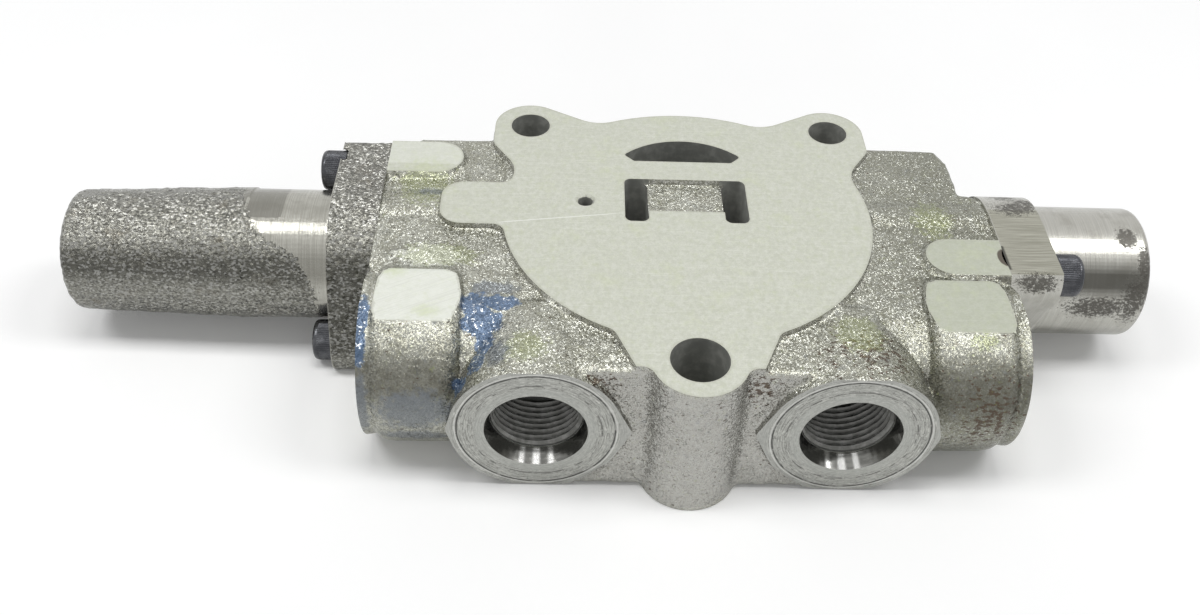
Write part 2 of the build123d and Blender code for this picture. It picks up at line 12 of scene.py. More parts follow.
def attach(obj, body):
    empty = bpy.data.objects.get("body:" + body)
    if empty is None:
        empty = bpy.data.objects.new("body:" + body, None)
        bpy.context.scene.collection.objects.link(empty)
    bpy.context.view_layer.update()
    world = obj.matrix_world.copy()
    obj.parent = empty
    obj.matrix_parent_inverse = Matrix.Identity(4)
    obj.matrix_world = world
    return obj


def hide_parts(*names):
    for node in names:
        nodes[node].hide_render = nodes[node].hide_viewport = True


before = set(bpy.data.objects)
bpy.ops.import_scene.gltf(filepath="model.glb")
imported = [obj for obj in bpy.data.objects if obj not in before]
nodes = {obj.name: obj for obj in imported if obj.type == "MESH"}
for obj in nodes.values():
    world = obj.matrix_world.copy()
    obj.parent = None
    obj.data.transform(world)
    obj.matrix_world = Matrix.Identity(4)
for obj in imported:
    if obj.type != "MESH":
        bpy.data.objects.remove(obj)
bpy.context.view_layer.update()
MM = 0.001

# Dimensions of the solids that the pieces and the finishes line up with, in millimetres
top_z = 47.6
cast_z = 45.6
axis_z = 23.8
port_x = 44.45
port_face_y = -73.1
port_mouth = 14.6
thread_start_y = -67.1
thread_end_y = -50.1
thread_major = 13.4
thread_depth = 1.15
thread_pitch = 2.117
rear_tie = (50.0, 40.4, 6.4)
front_tie = (0.0, -66.9, 8.3)
sense_hole = (-31.5, 1.3, 3.1)
barrel_y = -43.5
body_end = 94.8
screw_y = 21.8
screw_z = 17.2
head_radius = 6.5
head_height = 8.0
left_seat_x = 108.6
right_seat_x = 110.8


# ---------------------------------------------------------------- meshes

def lattice_noise(points, cell, seed):
    """Smooth field between -1 and 1 at points in mm, with features about cell across."""
    size = 64
    lattice = np.random.RandomState(seed).uniform(-1, 1, (size, size, size))
    place = points / cell
    low = np.floor(place).astype(int)
    part = place - low
    part = part * part * (3 - 2 * part)
    total = np.zeros(len(points))
    for corner in np.ndindex(2, 2, 2):
        share = np.prod(np.where(np.array(corner) == 1, part, 1 - part), axis=1)
        at = (low + corner) % size
        total += share * lattice[at[:, 0], at[:, 1], at[:, 2]]
    return total


def remeshed(node, name, depth):
    """A new object with a CAD node's form in small even faces that keep its sharp edges."""
    piece = bpy.data.objects.new(name, nodes[node].data.copy())
    bpy.context.scene.collection.objects.link(piece)
    modifier = piece.modifiers.new("even", "REMESH")
    modifier.mode = "SHARP"
    modifier.octree_depth = depth
    modifier.scale = 0.95
    modifier.sharpness = 1.0
    modifier.use_remove_disconnected = False
    graph = bpy.context.evaluated_depsgraph_get()
    even = bpy.data.meshes.new_from_object(piece.evaluated_get(graph))
    piece.modifiers.clear()
    piece.data = even
    even.materials.clear()
    return piece


class Skin:
    """The points and faces of a piece as arrays, in millimetres."""

    def __init__(self, piece):
        self.mesh = piece.data
        self.points = self.read(self.mesh.vertices, "co", 3) / MM
        self.normals = self.read(self.mesh.vertices, "normal", 3)
        self.centres = self.read(self.mesh.polygons, "center", 3) / MM
        self.facing = self.read(self.mesh.polygons, "normal", 3)
        self.edges = self.read(self.mesh.edges, "vertices", 2, int)
        self.corners = self.read(self.mesh.loops, "vertex_index", 1, int)[:, 0]
        sizes = self.read(self.mesh.polygons, "loop_total", 1, int)[:, 0]
        self.corner_face = np.repeat(np.arange(len(sizes)), sizes)

    @staticmethod
    def read(items, field, width, kind=float):
        values = np.empty(len(items) * width, kind)
        items.foreach_get(field, values)
        return values.reshape(-1, width)

    def touching(self, faces):
        """Marks the points of the marked faces."""
        marks = np.zeros(len(self.points), bool)
        marks[self.corners[faces[self.corner_face]]] = True
        return marks

    def relax(self, weight, rounds):
        """Pulls each point towards the middle of its neighbours by its own weight."""
        count = len(self.points)
        ends = np.concatenate([self.edges, self.edges[:, ::-1]])
        degree = np.maximum(np.bincount(ends[:, 0], minlength=count), 1)
        for _ in range(rounds):
            middle = np.stack([
                np.bincount(ends[:, 0], self.points[ends[:, 1], axis], count) / degree
                for axis in range(3)], axis=1)
            self.points += weight[:, None] * (middle - self.points)

    def spread(self, marks, rounds):
        """Blurs a number on each point over its neighbours."""
        values = marks.astype(float)
        ends = np.concatenate([self.edges, self.edges[:, ::-1]])
        degree = np.maximum(np.bincount(ends[:, 0], minlength=len(values)), 1)
        for _ in range(rounds):
            values = 0.5 * (values + np.bincount(ends[:, 0], values[ends[:, 1]], len(values)) / degree)
        return values

    def store(self, angle):
        """Writes the points back and smooths the shading up to an angle in degrees."""
        self.mesh.vertices.foreach_set("co", (self.points * MM).ravel())
        self.mesh.polygons.foreach_set("use_smooth", np.ones(len(self.centres), bool))
        self.mesh.set_sharp_from_angle(angle=math.radians(angle))
        self.mesh.update()

    def paint(self, name, values):
        """Stores one number for each point, which materials read by its name."""
        layer = self.mesh.attributes.new(name, "FLOAT", "POINT")
        layer.data.foreach_set("value", values.astype(np.float32))


def patches(points, blobs):
    """How strongly points lie in any of the (centre, radii) ellipsoids, from 0 to 1."""
    total = np.zeros(len(points))
    for centre, radii in blobs:
        reach = np.linalg.norm((points - centre) / np.array(radii, float), axis=1)
        total = np.maximum(total, np.clip(1.6 * (1 - reach), 0, 1))
    return total


def front_shade(normals, middle, half_width):
    """Painted shade: a dark band on faces whose normals rise about middle degrees towards the front, from 0 to 1.
    """
    rise = np.degrees(np.arctan2(normals[:, 2], -normals[:, 1]))
    return np.clip(1.4 * (1 - np.abs(rise - middle) / half_width), 0, 1)


def revolved(name, rings, place, count):
    """A mesh round an axis: rings are (distance along it, radius or radii), place maps them."""
    angles = np.linspace(0, 2 * math.pi, count, endpoint=False)
    points = []
    for along, radius in rings:
        radius = np.broadcast_to(radius, count)
        points.append(place(np.full(count, along), radius * np.cos(angles), radius * np.sin(angles)))
    points = np.concatenate(points) * MM
    first = np.arange(count)
    after = (first + 1) % count
    faces = []
    for ring in range(len(rings) - 1):
        low, high = ring * count, (ring + 1) * count
        faces += np.stack([low + first, low + after, high + after, high + first], axis=1).tolist()
    mesh = bpy.data.meshes.new(name)
    mesh.from_pydata(points.tolist(), [], faces)
    mesh.polygons.foreach_set("use_smooth", np.ones(len(faces), bool))
    mesh.set_sharp_from_angle(angle=math.radians(40))
    mesh.update()
    piece = bpy.data.objects.new(name, mesh)
    bpy.context.scene.collection.objects.link(piece)
    return piece


# ------------------------------------------------------------- materials

class Finish:
    """One procedural material, built node by node in the object's own coordinates."""

    def __init__(self, name):
        self.material = bpy.data.materials.new(name)
        self.material.use_nodes = True
        self.tree = self.material.node_tree
        self.surface = self.tree.nodes["Principled BSDF"]
        self.place = self.add("ShaderNodeTexCoord").outputs["Object"]

    def add(self, kind, **settings):
        node = self.tree.nodes.new(kind)
        for name, value in settings.items():
            setattr(node, name, value)
        return node

    def put(self, value, socket):
        if isinstance(value, bpy.types.NodeSocket):
            self.tree.links.new(value, socket)
        else:
            socket.default_value = value

    def math(self, operation, first, second=0.0, clamp=False):
        node = self.add("ShaderNodeMath", operation=operation, use_clamp=clamp)
        self.put(first, node.inputs[0])
        self.put(second, node.inputs[1])
        return node.outputs[0]

    def vector(self, operation, first, second=None):
        node = self.add("ShaderNodeVectorMath", operation=operation)
        self.put(first, node.inputs[0])
        if second is not None:
            self.put(second, node.inputs[1])
        return node.outputs[0]

    def stretched(self, x, y, z, turn=0.0):
        """Object coordinates, turned round Z, with a feature size in mm along each axis."""
        turned = self.add("ShaderNodeMapping")
        self.put(self.place, turned.inputs["Vector"])
        turned.inputs["Rotation"].default_value = (0.0, 0.0, turn)
        node = self.add("ShaderNodeMapping")
        self.put(turned.outputs[0], node.inputs["Vector"])
        node.inputs["Scale"].default_value = (1 / (x * MM), 1 / (y * MM), 1 / (z * MM))
        return node.outputs[0]

    def noise(self, size, detail=3.0, roughness=0.55, turn=0.0, shift=0.0):
        """Noise with features of one size, or of one size along each axis, in millimetres."""
        sizes = size if isinstance(size, tuple) else (size, size, size)
        node = self.add("ShaderNodeTexNoise", noise_dimensions="4D")
        self.put(self.stretched(*sizes, turn), node.inputs["Vector"])
        node.inputs["W"].default_value = shift
        node.inputs["Scale"].default_value = 1.0
        node.inputs["Detail"].default_value = detail
        node.inputs["Roughness"].default_value = roughness
        return node.outputs["Fac"]

    def span(self, value, low, high, start=0.0, end=1.0):
        """Maps low..high to start..end, smoothly and without going past them."""
        node = self.add("ShaderNodeMapRange", interpolation_type="SMOOTHSTEP")
        self.put(value, node.inputs["Value"])
        for name, number in (("From Min", low), ("From Max", high), ("To Min", start), ("To Max", end)):
            node.inputs[name].default_value = number
        return node.outputs[0]

    def mask(self, name):
        return self.add("ShaderNodeAttribute", attribute_name=name).outputs["Fac"]

    def broken(self, name, size, softness=0.25, shift=0.0, reach=1.6):
        """A painted mask whose edge is broken up by noise."""
        edge = self.math("SUBTRACT", self.noise(size, 4.0, 0.65, shift=shift), 0.5)
        spread = self.math("ADD", self.mask(name), self.math("MULTIPLY", edge, reach))
        return self.span(spread, 0.5 - softness / 2, 0.5 + softness / 2)

    def mix(self, share, first, second):
        node = self.add("ShaderNodeMix", data_type="RGBA")
        self.put(share, node.inputs[0])
        for value, socket in ((first, node.inputs[6]), (second, node.inputs[7])):
            if isinstance(value, tuple):
                value = (*value, 1.0)
            self.put(value, socket)
        return node.outputs[2]

    def bump(self, height, depth, strength=1.0, after=None):
        """Relief of a depth in millimetres."""
        node = self.add("ShaderNodeBump")
        self.put(height, node.inputs["Height"])
        node.inputs["Distance"].default_value = depth * MM
        node.inputs["Strength"].default_value = strength
        if after is not None:
            self.put(after, node.inputs["Normal"])
        return node.outputs[0]

    def facets(self, size, lean, after):
        """Leans each small grain its own way, for glitter, and marks the grains leant forward, which the callers
        paint paler as painted glints.
        """
        cells = self.add("ShaderNodeTexVoronoi", feature="F1")
        sizes = size if isinstance(size, tuple) else (size, size, size)
        self.put(self.stretched(*sizes), cells.inputs["Vector"])
        cells.inputs["Scale"].default_value = 1.0
        centred = self.vector("SUBTRACT", cells.outputs["Color"], (0.5, 0.5, 0.5))
        leaned = self.vector("ADD", after, self.vector("MULTIPLY", centred, (lean, lean, lean)))
        split = self.add("ShaderNodeSeparateXYZ")
        self.put(cells.outputs["Color"], split.inputs[0])
        glint_grains = self.span(split.outputs["Y"], 0.32, 0.14)
        return self.vector("NORMALIZE", leaned), glint_grains

    def polar(self, ring_size, arc):
        """Distance from the nearer port's axis in mm, noise drawn out along rings, and the angle."""
        split = self.add("ShaderNodeSeparateXYZ")
        self.put(self.place, split.inputs[0])
        across = self.math("SUBTRACT", self.math("ABSOLUTE", split.outputs["X"]), port_x * MM)
        up = self.math("SUBTRACT", split.outputs["Z"], axis_z * MM)
        squares = self.math("ADD", self.math("MULTIPLY", across, across), self.math("MULTIPLY", up, up))
        radius = self.math("DIVIDE", self.math("SQRT", squares), MM)
        join = self.add("ShaderNodeCombineXYZ")
        self.put(self.math("DIVIDE", radius, ring_size), join.inputs[0])
        angle = self.math("ARCTAN2", up, across)
        self.put(self.math("MULTIPLY", angle, arc), join.inputs[1])
        noise = self.add("ShaderNodeTexNoise")
        self.put(join.outputs[0], noise.inputs["Vector"])
        noise.inputs["Scale"].default_value = 1.0
        noise.inputs["Detail"].default_value = 4.0
        noise.inputs["Roughness"].default_value = 0.6
        return radius, noise.outputs["Fac"], angle

    def ring(self, radius, middle, half_width):
        """1 on a circle of one radius, falling to 0 a little way off it."""
        off = self.math("ABSOLUTE", self.math("SUBTRACT", radius, middle))
        return self.math("SUBTRACT", 1.0, self.span(off, half_width * 0.4, half_width))

    def done(self, color, metallic, roughness, normal=None):
        self.put(color, self.surface.inputs["Base Color"])
        self.put(metallic, self.surface.inputs["Metallic"])
        self.put(roughness, self.surface.inputs["Roughness"])
        if normal is not None:
            self.put(normal, self.surface.inputs["Normal"])
        return self.material


def body_cast_finish():
    """Sand-cast skin: glittering grey grains with painted glints, painted shade and painted light, crust, brown
    flecks, lime stains, old paint.
    """
    f = Finish("cast_iron_body")
    grain = f.noise(0.65, 4.0, 0.7)
    coarse = f.noise(2.6, 3.0, 0.6, shift=3.0)
    cloud = f.noise(6.0, 4.0, 0.65, shift=7.0)
    color = f.mix(f.span(grain, 0.36, 0.64), (0.25, 0.25, 0.21), (0.50, 0.50, 0.43))
    color = f.mix(f.span(cloud, 0.42, 0.64, 0.0, 0.4), color, (0.22, 0.215, 0.155))
    color = f.mix(f.span(cloud, 0.48, 0.30, 0.0, 0.3), color, (0.58, 0.585, 0.52))
    # painted shade: the right side darker
    color = f.mix(f.math("MULTIPLY", f.mask("dim"), 0.75), color, (0.20, 0.20, 0.155))
    # painted light: upright faces paler and more neutral
    color = f.mix(f.math("MULTIPLY", f.mask("front"), 0.7), color, (0.45, 0.44, 0.42))
    # painted light: the cast next to the milled faces paler, where the step walls fall in shade
    color = f.mix(f.math("MULTIPLY", f.mask("edge"), 0.8), color, (0.78, 0.78, 0.71))
    height = f.math("ADD", f.math("MULTIPLY", grain, 0.6), f.math("MULTIPLY", coarse, 0.9))
    normal, glint_grains = f.facets(0.38, 0.62, f.bump(height, 0.5, 0.6))
    # painted glints: the grains leant towards the lamps are paler
    color = f.mix(f.math("MULTIPLY", glint_grains, 0.5), color, (0.50, 0.51, 0.48))
    crust = f.broken("crust", 2.2, 0.2, 17.0, 3.6)
    color = f.mix(f.math("MULTIPLY", crust, 0.8), color, (0.66, 0.67, 0.60))
    rim = f.span(f.math("ABSOLUTE", f.math("SUBTRACT", crust, 0.5)), 0.1, 0.5, 0.8, 0.0)
    color = f.mix(rim, color, (0.045, 0.047, 0.04))
    # painted shade: the barrel fronts and the screw reliefs darkened
    shade = f.math("MULTIPLY", f.mask("shade"), f.span(coarse, 0.3, 0.7, 0.7, 1.0))
    color = f.mix(f.math("MULTIPLY", shade, 0.82), color, (0.075, 0.072, 0.057))
    fleck = f.noise((2.0, 1.2, 1.2), 3.0, 0.65, shift=11.0)
    fleck = f.math("ADD", fleck, f.math("MULTIPLY", f.mask("rust"), 0.125))
    color = f.mix(f.span(fleck, 0.635, 0.66, 0.0, 0.9), color, (0.085, 0.06, 0.042))
    lime = f.math("MULTIPLY", f.broken("lime", 1.6, 0.5, 2.0, 3.2), 0.34)
    # the lime stains spare the painted glints
    lime = f.math("MULTIPLY", lime, f.math("SUBTRACT", 1.0, f.math("MULTIPLY", glint_grains, 0.6)))
    color = f.mix(lime, color, (0.30, 0.35, 0.11))
    wash = f.math("MULTIPLY", f.broken("wash", 2.2, 0.8, 25.0, 2.4), 0.7)
    color = f.mix(wash, color, (0.165, 0.185, 0.21))
    blue = f.broken("blue", 2.4, 0.3, 9.0, 2.0)
    depth = f.mix(f.span(coarse, 0.35, 0.65), (0.055, 0.095, 0.16), (0.13, 0.19, 0.29))
    color = f.mix(blue, color, depth)
    chip = f.math("MULTIPLY", f.span(f.noise(1.2, 3.0, 0.7, shift=21.0), 0.57, 0.63), blue)
    color = f.mix(chip, color, (0.80, 0.83, 0.86))
    metallic = f.math("SUBTRACT", 0.82, f.math("MULTIPLY", f.math("SUBTRACT", blue, chip), 0.45))
    # less metallic where the cast next to the milled faces is painted light
    metallic = f.math("SUBTRACT", metallic, f.math("MULTIPLY", f.mask("edge"), 0.5))
    roughness = f.span(grain, 0.3, 0.7, 0.3, 0.14)
    roughness = f.math("ADD", roughness, f.math("MULTIPLY", shade, 0.14))
    roughness = f.math("SUBTRACT", roughness, f.math("MULTIPLY", blue, 0.08))
    return f.done(color, metallic, roughness, normal)


def machined_finish():
    """Milled face: pale grey-green with a fine grain, faint scratches, yellow-green stains, painted light on the
    left pads and painted shade on the right pads and round the right countersink.
    """
    f = Finish("milled_iron")
    mottle = f.noise(1.6, 6.0, 0.75)
    grain = f.noise(0.45, 3.0, 0.6, shift=4.0)
    along = f.noise((20.0, 0.3, 10.0), 3.0, 0.6, shift=8.0)
    across = f.noise((0.3, 20.0, 10.0), 3.0, 0.6, shift=15.0)
    # painted light and shade: paler on the left pads, darker on the right pads
    painted_light_tone = f.mask("painted_light_tone")
    color = f.mix(f.span(mottle, 0.35, 0.65), (0.54, 0.555, 0.465), (0.64, 0.65, 0.575))
    color = f.mix(f.span(grain, 0.42, 0.62, 0.0, 0.3), color, (0.44, 0.45, 0.38))
    color = f.mix(f.span(along, 0.54, 0.70, 0.0, 0.3), color, (0.80, 0.81, 0.76))
    color = f.mix(f.span(painted_light_tone, 0.5, 1.0, 0.0, 0.55), color, (0.90, 0.92, 0.86))
    color = f.mix(f.span(painted_light_tone, 0.5, 0.0, 0.0, 0.4), color, (0.33, 0.36, 0.26))
    stain = f.span(f.noise(11.0, 5.0, 0.7, shift=19.0), 0.53, 0.70, 0.0, 0.24)
    color = f.mix(stain, color, (0.55, 0.60, 0.34))
    lime = f.math("MULTIPLY", f.broken("lime", 2.0, 1.2, 2.0, 2.4), 0.32)
    color = f.mix(lime, color, (0.50, 0.58, 0.24))
    # scratches mostly on the pads painted light
    scratch = f.span(f.noise((24.0, 0.35, 10.0), 3.0, 0.6, -0.5, 27.0), 0.50, 0.66)
    scratch = f.math("MULTIPLY", scratch, f.span(painted_light_tone, 0.55, 0.95, 0.12, 0.55))
    color = f.mix(scratch, color, (0.62, 0.63, 0.57))
    split = f.add("ShaderNodeSeparateXYZ")
    f.put(f.place, split.inputs[0])
    off = f.math("SUBTRACT", split.outputs["Y"], f.math("MULTIPLY", split.outputs["X"], 0.152))
    off = f.math("ABSOLUTE", f.math("ADD", off, 1.8 * MM))
    part = f.math("ABSOLUTE", f.math("ADD", split.outputs["X"], 40 * MM))
    line = f.math("MULTIPLY", f.span(off, 0.1 * MM, 0.3 * MM, 0.6, 0.0), f.span(part, 15 * MM, 21 * MM, 1.0, 0.0))
    color = f.mix(line, color, (0.85, 0.86, 0.82))
    # wear: darker along the edges of the milled faces
    wear_and_highlight = f.math("SUBTRACT", 1.0, f.broken("inland", 0.9, 0.3, 33.0, 1.5))
    color = f.mix(f.math("MULTIPLY", wear_and_highlight, 0.5), color, (0.46, 0.465, 0.39))
    # painted shade: a dark half-moon round the right countersink, wider than the cut
    color = f.mix(f.span(f.mask("pocket"), 0.0, 0.15), color, (0.10, 0.085, 0.065))
    height = f.math("ADD", f.math("MULTIPLY", along, 0.5), f.math("MULTIPLY", across, 0.3))
    height = f.math("ADD", height, f.math("MULTIPLY", grain, 0.5))
    return f.done(color, 0.3, f.span(mottle, 0.3, 0.7, 0.42, 0.5), f.bump(height, 0.05, 0.6))


def port_face_finish():
    """Turned port face: broken rings round each port, two dark lines and a paler lip."""
    f = Finish("turned_port_face")
    radius, arcs, _ = f.polar(0.35, 3.0)
    _, fine, _ = f.polar(0.16, 9.0)
    patch = f.noise(4.0, 3.0, 0.6, shift=6.0)
    speck = f.noise(0.7, 3.0, 0.65, shift=16.0)
    color = f.mix(f.span(arcs, 0.36, 0.64), (0.25, 0.252, 0.232), (0.47, 0.475, 0.44))
    color = f.mix(f.span(fine, 0.5, 0.64, 0.0, 0.7), color, (0.72, 0.72, 0.68))
    color = f.mix(f.span(speck, 0.54, 0.66, 0.0, 0.6), color, (0.15, 0.15, 0.135))
    lip = f.math("SUBTRACT", 1.0, f.span(radius, 16.6, 18.2))
    color = f.mix(f.math("MULTIPLY", lip, 0.5), color, (0.44, 0.45, 0.42))
    line = f.math("MULTIPLY", f.ring(radius, 22.3, 0.32), f.span(patch, 0.36, 0.46, 0.35, 1.0))
    inner = f.math("MULTIPLY", f.ring(radius, 18.6, 0.3), f.span(patch, 0.46, 0.56))
    line = f.math("MAXIMUM", line, f.math("MULTIPLY", inner, 0.7))
    color = f.mix(f.math("MULTIPLY", line, 0.9), color, (0.05, 0.05, 0.047))
    color = f.mix(f.math("MULTIPLY", f.ring(radius, 22.9, 0.3), 0.6), color, (0.72, 0.72, 0.69))
    color = f.mix(f.span(radius, 23.3, 24.3, 0.0, 0.55), color, (0.42, 0.425, 0.40))
    height = f.math("ADD", f.math("MULTIPLY", arcs, 0.7), f.math("MULTIPLY", fine, 0.5))
    height = f.math("SUBTRACT", height, line)
    return f.done(color, 0.7, f.span(arcs, 0.3, 0.7, 0.3, 0.42), f.bump(height, 0.09, 0.6))


def seat_finish():
    """Smooth turned cone of the port seats, with painted highlights in three streaks at the bottom and a ring at
    the thread's start, and painted shade away from the bottom.
    """
    f = Finish("port_seat")
    _, rings, angle = f.polar(0.2, 2.0)
    grime = f.noise(3.0, 4.0, 0.6)
    color = f.mix(f.span(rings, 0.35, 0.65), (0.15, 0.15, 0.14), (0.24, 0.24, 0.225))
    # painted shade: darker away from the bottom of the seat
    low = f.math("ABSOLUTE", f.math("ADD", angle, math.pi / 2))
    color = f.mix(f.span(low, 0.35, 0.9), color, (0.14, 0.14, 0.13))
    # painted highlights: three pale streaks at the bottom of the seat
    beside = f.math("ABSOLUTE", f.math("SUBTRACT", low, 0.30))
    wear_and_highlight = f.math("MAXIMUM", f.span(low, 0.03, 0.11, 1.0, 0.0), f.span(beside, 0.02, 0.09, 0.8, 0.0))
    color = f.mix(wear_and_highlight, color, (0.78, 0.78, 0.76))
    color = f.mix(f.span(grime, 0.5, 0.7, 0.0, 0.3), color, (0.12, 0.12, 0.11))
    split = f.add("ShaderNodeSeparateXYZ")
    f.put(f.place, split.inputs[0])
    # painted highlight: a pale ring where the thread starts
    lip = f.span(split.outputs["Y"], (thread_start_y - 0.7) * MM, (thread_start_y - 0.3) * MM, 0.0, 0.8)
    color = f.mix(lip, color, (0.62, 0.62, 0.59))
    flared = f.vector("ADD", f.bump(rings, 0.02, 0.5), (0.0, -0.25, 0.0))
    rough = f.span(grime, 0.3, 0.7, 0.09, 0.15)
    return f.done(color, 0.9, rough, f.vector("NORMALIZE", flared))


def bore_finish(name, dark, light, metallic):
    """Oily machined wall of a hole or a thread."""
    f = Finish(name)
    grime = f.noise(3.0, 4.0, 0.6)
    streak = f.noise((0.4, 6.0, 0.4), 3.0, 0.6, shift=5.0)
    color = f.mix(f.span(grime, 0.4, 0.7), dark, light)
    height = f.math("ADD", f.math("MULTIPLY", streak, 0.4), f.math("MULTIPLY", grime, 0.3))
    return f.done(color, metallic, f.span(grime, 0.3, 0.7, 0.34, 0.5), f.bump(height, 0.06, 0.5))


def cap_cast_finish():
    """Coarse glittering skin of the long cap with painted glints and a painted shade band along the front, turned
    bright where the band mask is set.
    """
    f = Finish("cast_iron_cap")
    grain = f.noise((0.9, 0.6, 0.6), 4.0, 0.7)
    coarse = f.noise(2.4, 3.0, 0.6, shift=3.0)
    rust = f.span(f.noise(7.0, 4.0, 0.65, shift=17.0), 0.54, 0.7, 0.0, 0.4)
    cast = f.mix(f.span(grain, 0.36, 0.64), (0.10, 0.098, 0.085), (0.335, 0.333, 0.295))
    cast = f.mix(rust, cast, (0.15, 0.13, 0.095))
    # painted shade: a dark band along the front of the cap
    shade = f.mask("shade")
    cast = f.mix(f.math("MULTIPLY", shade, 0.82), cast, (0.062, 0.061, 0.052))
    rings = f.noise((0.25, 40.0, 40.0), 3.0, 0.6, shift=9.0)
    smear = f.noise((9.0, 5.0, 5.0), 4.0, 0.6, shift=31.0)
    turned = f.mix(f.span(rings, 0.35, 0.7), (0.36, 0.355, 0.315), (0.50, 0.495, 0.45))
    turned = f.mix(f.span(smear, 0.45, 0.65, 0.0, 0.3), turned, (0.22, 0.21, 0.18))
    turned = f.mix(f.math("MULTIPLY", f.broken("dull", 2.0, 0.2, 43.0, 0.5), 0.6), turned, (0.17, 0.165, 0.145))
    # painted shade on the turned band too
    turned = f.mix(f.math("MULTIPLY", shade, 0.5), turned, (0.10, 0.095, 0.08))
    band = f.broken("band", 1.5, 0.12, 13.0, 1.8)
    color = f.mix(band, cast, turned)
    height = f.math("ADD", f.math("MULTIPLY", grain, 0.6), f.math("MULTIPLY", coarse, 0.9))
    height = f.math("MULTIPLY", height, f.math("SUBTRACT", 1.0, band))
    height = f.math("ADD", height, f.math("MULTIPLY", rings, 0.06))
    smooth = f.bump(height, 0.7, 0.6)
    grains, glint_grains = f.facets((0.75, 0.5, 0.5), 0.85, smooth)
    # painted glints: the cast grains leant towards the lamps are paler, not on the turned band
    glint_grains = f.math("MULTIPLY", glint_grains, f.math("SUBTRACT", 0.3, f.math("MULTIPLY", band, 0.3)))
    color = f.mix(glint_grains, color, (0.62, 0.62, 0.60))
    normal = f.add("ShaderNodeMix", data_type="VECTOR")
    f.put(band, normal.inputs[0])
    f.put(grains, normal.inputs[4])
    f.put(smooth, normal.inputs[5])
    metallic = f.math("ADD", 0.82, f.math("MULTIPLY", band, 0.13))
    rough = f.span(grain, 0.3, 0.7, 0.25, 0.12)
    rough = f.math("ADD", rough, f.math("MULTIPLY", shade, 0.1))
    return f.done(color, metallic, rough, normal.outputs[1])


def cap_turned_finish():
    """Turned steel of the short cap with brushed flats, dark rust pits, a painted shade band along the front and
    painted shade in the screw pockets.
    """
    f = Finish("turned_steel_cap")
    rings = f.noise((0.22, 40.0, 40.0), 3.0, 0.6)
    brush = f.noise((14.0, 0.25, 6.0), 3.0, 0.6, shift=3.0)
    cloud = f.noise(7.0, 4.0, 0.6, shift=5.0)
    pits = f.noise((1.2, 0.8, 0.8), 5.0, 0.8, shift=8.0)
    color = f.mix(f.span(rings, 0.35, 0.7), (0.40, 0.395, 0.36), (0.52, 0.515, 0.475))
    color = f.mix(f.span(cloud, 0.46, 0.66, 0.0, 0.4), color, (0.27, 0.26, 0.225))
    flat = f.mask("flat")
    milled = f.mix(f.span(brush, 0.36, 0.66), (0.28, 0.275, 0.225), (0.46, 0.455, 0.39))
    color = f.mix(flat, color, milled)
    # painted shade: a dark band along the front of the tube and in the screw pockets
    color = f.mix(f.math("MULTIPLY", f.mask("shade"), 0.88), color, (0.06, 0.058, 0.05))
    eaten = f.math("ADD", f.mask("rust"), f.math("MULTIPLY", f.math("SUBTRACT", pits, 0.5), 4.0))
    eaten = f.span(eaten, 0.55, 0.95)
    color = f.mix(f.math("MULTIPLY", eaten, 0.88), color, (0.075, 0.07, 0.06))
    height = f.math("SUBTRACT", f.math("MULTIPLY", rings, 0.10), f.math("MULTIPLY", eaten, 0.5))
    height = f.math("ADD", height, f.math("MULTIPLY", f.math("MULTIPLY", brush, flat), 0.15))
    roughness = f.math("ADD", 0.24, f.math("MULTIPLY", eaten, 0.22))
    metallic = f.math("SUBTRACT", 0.95, f.math("MULTIPLY", eaten, 0.3))
    return f.done(color, metallic, roughness, f.bump(height, 0.2, 0.7))


def steel_finish(name, dark, light, roughness, ring_size, metallic=0.95):
    """Plain machined steel with fine turning marks along X."""
    f = Finish(name)
    rings = f.noise((ring_size, 30.0, 30.0), 3.0, 0.6)
    smear = f.noise(4.0, 3.0, 0.6, shift=4.0)
    color = f.mix(f.span(rings, 0.35, 0.7), dark, light)
    color = f.mix(f.span(smear, 0.5, 0.75, 0.0, 0.5), color, dark)
    height = f.math("ADD", f.math("MULTIPLY", rings, 0.3), f.math("MULTIPLY", smear, 0.1))
    rough = f.span(smear, 0.3, 0.7, roughness - 0.05, roughness + 0.08)
    return f.done(color, metallic, rough, f.bump(height, 0.05, 0.5))


def black_oxide_finish():
    """Blue-black oxide of the cap screws, worn along the knurl."""
    f = Finish("black_oxide_screws")
    wear = f.noise(0.7, 3.0, 0.65)
    cloud = f.noise(4.0, 3.0, 0.6, shift=6.0)
    color = f.mix(f.span(cloud, 0.4, 0.7), (0.055, 0.057, 0.063), (0.11, 0.113, 0.12))
    color = f.mix(f.span(wear, 0.60, 0.74, 0.0, 0.5), color, (0.22, 0.215, 0.21))
    return f.done(color, 0.8, f.span(cloud, 0.3, 0.7, 0.2, 0.3), f.bump(wear, 0.04, 0.5))


def rubber_finish():
    """Matt nitrile rubber with a little dust."""
    f = Finish("nitrile_rubber")
    dust = f.noise(1.5, 4.0, 0.65)
    color = f.mix(f.span(dust, 0.5, 0.75, 0.0, 0.5), (0.016, 0.016, 0.017), (0.06, 0.058, 0.052))
    return f.done(color, 0.0, f.span(dust, 0.3, 0.7, 0.55, 0.75), f.bump(dust, 0.05, 0.4))


# ---------------------------------------------------------------- pieces

def in_hole(points, hole, margin):
    x, y, radius = hole
    return np.hypot(points[:, 0] - x, points[:, 1] - y) < radius + margin


